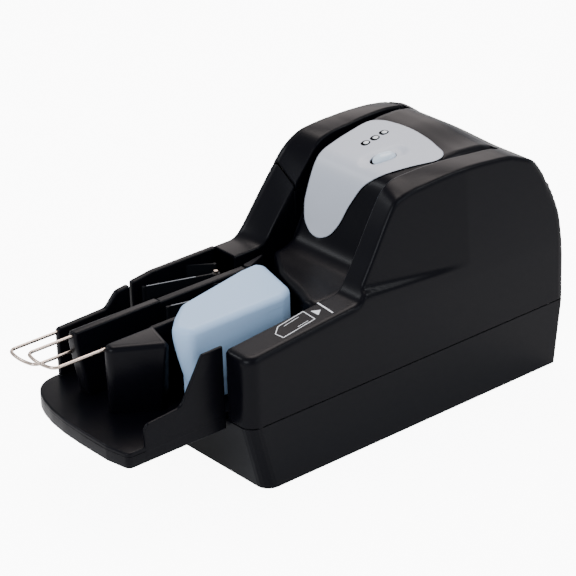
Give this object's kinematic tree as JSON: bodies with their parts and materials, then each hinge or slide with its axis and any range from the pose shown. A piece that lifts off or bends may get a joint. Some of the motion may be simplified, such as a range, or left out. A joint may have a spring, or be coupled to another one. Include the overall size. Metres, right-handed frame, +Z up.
{
  "type": "cheque scanner",
  "caption": "Desktop cheque scanner: black case with a document track round a centre island, feed hopper with a swinging flag, side-by-side exit pockets, wires and a control panel.",
  "frame": {"origin": "on the table, in the middle of the whole footprint", "axes": "+Z up; +Y runs from the pocket tray to the back of the case; +X is the feed side"},
  "size_m": [0.155, 0.408, 0.1912],
  "materials": {
    "black_plastic": "fine-textured moulding with a soft sheen",
    "dark_plastic": "smooth dark moulding",
    "grey_plastic": "smooth grey moulding",
    "leaf_plastic": "thin smooth leaf",
    "pale_blue_plastic": "smooth pale blue moulding",
    "panel_grey": "satin silver-grey inlay",
    "clear_lens": "clear light pipe",
    "steel_wire": "drawn bright wire",
    "steel_plate": "zinc-plated sheet",
    "motor_case": "drawn steel can",
    "rubber": "matt rubber",
    "roller": "ground rubber tyres on a steel shaft",
    "circuit_board": "green solder mask",
    "glass_window": "housing with a glass face",
    "ink_blue": "smooth dark blue cartridge"
  },
  "bodies": {
    "case": {"lower_casing": "black_plastic", "base_screws": "steel_wire", "rubber_feet": "rubber", "chassis_plate": "steel_plate", "main_board": "circuit_board", "power_inlet": "black_plastic", "usb_socket": "steel_plate", "deck": "dark_plastic", "inner_guide": "dark_plastic", "rear_guide": "dark_plastic", "pocket_tray": "black_plastic", "hopper_post": "black_plastic", "pocket_divider": "black_plastic", "divider_nose": "black_plastic", "exit_cover": "black_plastic", "feed_cover": "black_plastic", "island_cover": "black_plastic", "lid_pin": "steel_wire", "control_panel": "panel_grey", "status_lights": "clear_lens", "button_spring": "steel_wire", "button_switch": "black_plastic", "flag_pin": "steel_wire", "leaf_pins": "steel_wire", "guide_leaf_1": "grey_plastic", "guide_leaf_2": "grey_plastic", "drive_motor": "motor_case", "drive_belt": "rubber", "pinch_brackets": "steel_plate", "feed_motor": "motor_case", "feed_belt": "rubber", "separator_bracket": "steel_plate", "micr_head": "steel_plate", "front_image_bar": "glass_window", "rear_image_bar": "glass_window", "ink_cartridge": "ink_blue", "ink_holder": "dark_plastic"},
    "access_lid_body": {"access_lid": "black_plastic"},
    "power_button_body": {"power_button": "pale_blue_plastic"},
    "feeder_flag_body": {"feeder_flag": "pale_blue_plastic"},
    "near_wire_body": {"near_wire": "steel_wire"},
    "far_wire_body": {"far_wire": "steel_wire"},
    "pocket_leaf_1_body": {"pocket_leaf_1": "leaf_plastic"},
    "pocket_leaf_2_body": {"pocket_leaf_2": "leaf_plastic"},
    "diverter_gate_body": {"diverter_gate": "dark_plastic"},
    "drive_motor_pulley_body": {"drive_motor_pulley": "grey_plastic"},
    "drive_roller_1_body": {"drive_roller_1": "roller"},
    "drive_roller_2_body": {"drive_roller_2": "roller"},
    "drive_roller_3_body": {"drive_roller_3": "roller"},
    "drive_roller_4_body": {"drive_roller_4": "roller"},
    "pinch_roller_1_body": {"pinch_roller_1": "roller"},
    "pinch_roller_2_body": {"pinch_roller_2": "roller"},
    "pinch_roller_3_body": {"pinch_roller_3": "roller"},
    "pinch_roller_4_body": {"pinch_roller_4": "roller"},
    "feed_motor_pulley_body": {"feed_motor_pulley": "grey_plastic"},
    "feed_roller_1_body": {"feed_roller_1": "roller"},
    "feed_roller_2_body": {"feed_roller_2": "roller"},
    "feed_roller_3_body": {"feed_roller_3": "roller"},
    "separator_roller_body": {"separator_roller": "roller"}
  },
  "joints": [
    {"name": "flag_swing", "type": "hinge", "parent": "case", "child": "feeder_flag_body", "pos_m": [0.021, -0.107, 0.08], "axis": [0, 0, -1], "range_deg": [0, 9]},
    {"name": "lid_swing", "type": "hinge", "parent": "case", "child": "access_lid_body", "pos_m": [-0.0733, 0.1035, 0.123], "axis": [0, -1, 0], "range_deg": [0, 85]},
    {"name": "near_wire_slide", "type": "slide", "parent": "case", "child": "near_wire_body", "axis": [0, 1, 0], "range_m": [0, 0.03]},
    {"name": "far_wire_slide", "type": "slide", "parent": "case", "child": "far_wire_body", "axis": [0, 1, 0], "range_m": [0, 0.022]},
    {"name": "pocket_leaf_1_swing", "type": "hinge", "parent": "case", "child": "pocket_leaf_1_body", "pos_m": [-0.015, -0.024, 0.08], "axis": [0, 0, 1], "range_deg": [0, 15], "stiffness_Nm_per_rad": 0.02},
    {"name": "pocket_leaf_2_swing", "type": "hinge", "parent": "case", "child": "pocket_leaf_2_body", "pos_m": [-0.0495, -0.026, 0.08], "axis": [0, 0, 1], "range_deg": [0, 20], "stiffness_Nm_per_rad": 0.02},
    {"name": "gate_swing", "type": "hinge", "parent": "case", "child": "diverter_gate_body", "pos_m": [-0.0395, -0.004, 0.08], "axis": [0, 0, 1], "range_deg": [0, 8], "stiffness_Nm_per_rad": 0.02},
    {"name": "button_press", "type": "slide", "parent": "case", "child": "power_button_body", "axis": [0, 0.1908, -0.9816], "range_m": [0, 0.0012], "stiffness_N_per_m": 500, "deforming": ["button_spring"]},
    {"name": "drive_roller_1_spin", "type": "hinge", "parent": "case", "child": "drive_roller_1_body", "pos_m": [0.0404, 0.048, 0.08], "axis": [0, 0, 1], "continuous": true},
    {"name": "drive_motor_spin", "type": "hinge", "parent": "case", "child": "drive_motor_pulley_body", "pos_m": [0, 0.05, 0.08], "axis": [0, 0, 1], "continuous": true},
    {"name": "drive_roller_2_spin", "type": "hinge", "parent": "case", "child": "drive_roller_2_body", "pos_m": [0.0404, 0.112, 0.08], "axis": [0, 0, 1], "continuous": true},
    {"name": "drive_roller_3_spin", "type": "hinge", "parent": "case", "child": "drive_roller_3_body", "pos_m": [0.001, 0.1644, 0.08], "axis": [0, 0, 1], "continuous": true},
    {"name": "drive_roller_4_spin", "type": "hinge", "parent": "case", "child": "drive_roller_4_body", "pos_m": [-0.0384, 0.06, 0.08], "axis": [0, 0, 1], "continuous": true},
    {"name": "pinch_roller_1_spin", "type": "hinge", "parent": "case", "child": "pinch_roller_1_body", "pos_m": [0.0557, 0.048, 0.08], "axis": [0, 0, 1], "continuous": true},
    {"name": "pinch_roller_2_spin", "type": "hinge", "parent": "case", "child": "pinch_roller_2_body", "pos_m": [0.0557, 0.112, 0.08], "axis": [0, 0, 1], "continuous": true},
    {"name": "pinch_roller_3_spin", "type": "hinge", "parent": "case", "child": "pinch_roller_3_body", "pos_m": [0.001, 0.1797, 0.08], "axis": [0, 0, 1], "continuous": true},
    {"name": "pinch_roller_4_spin", "type": "hinge", "parent": "case", "child": "pinch_roller_4_body", "pos_m": [-0.0537, 0.06, 0.08], "axis": [0, 0, 1], "continuous": true},
    {"name": "feed_roller_1_spin", "type": "hinge", "parent": "case", "child": "feed_roller_1_body", "pos_m": [0.0574, -0.062, 0.08], "axis": [0, 0, 1], "continuous": true},
    {"name": "feed_motor_spin", "type": "hinge", "parent": "case", "child": "feed_motor_pulley_body", "pos_m": [0.0154, -0.034, 0.08], "axis": [0, 0, 1], "continuous": true},
    {"name": "feed_roller_2_spin", "type": "hinge", "parent": "case", "child": "feed_roller_2_body", "pos_m": [0.0574, -0.034, 0.08], "axis": [0, 0, 1], "continuous": true},
    {"name": "feed_roller_3_spin", "type": "hinge", "parent": "case", "child": "feed_roller_3_body", "pos_m": [0.0574, -0.002, 0.08], "axis": [0, 0, 1], "continuous": true},
    {"name": "separator_spin", "type": "hinge", "parent": "case", "child": "separator_roller_body", "pos_m": [0.0391, -0.002, 0.08], "axis": [0, 0, 1], "continuous": true}
  ],
  "couplings": [
    {"joint": "drive_motor_spin", "follows": "drive_roller_1_spin", "ratio": 1},
    {"joint": "drive_roller_2_spin", "follows": "drive_roller_1_spin", "ratio": 1},
    {"joint": "drive_roller_3_spin", "follows": "drive_roller_1_spin", "ratio": 1},
    {"joint": "drive_roller_4_spin", "follows": "drive_roller_1_spin", "ratio": 1},
    {"joint": "pinch_roller_1_spin", "follows": "drive_roller_1_spin", "ratio": -1.5},
    {"joint": "pinch_roller_2_spin", "follows": "drive_roller_1_spin", "ratio": -1.5},
    {"joint": "pinch_roller_3_spin", "follows": "drive_roller_1_spin", "ratio": -1.5},
    {"joint": "pinch_roller_4_spin", "follows": "drive_roller_1_spin", "ratio": -1.5},
    {"joint": "feed_motor_spin", "follows": "feed_roller_1_spin", "ratio": 1},
    {"joint": "feed_roller_2_spin", "follows": "feed_roller_1_spin", "ratio": 1},
    {"joint": "feed_roller_3_spin", "follows": "feed_roller_1_spin", "ratio": 1},
    {"joint": "separator_spin", "follows": "feed_roller_1_spin", "ratio": -1}
  ]
}
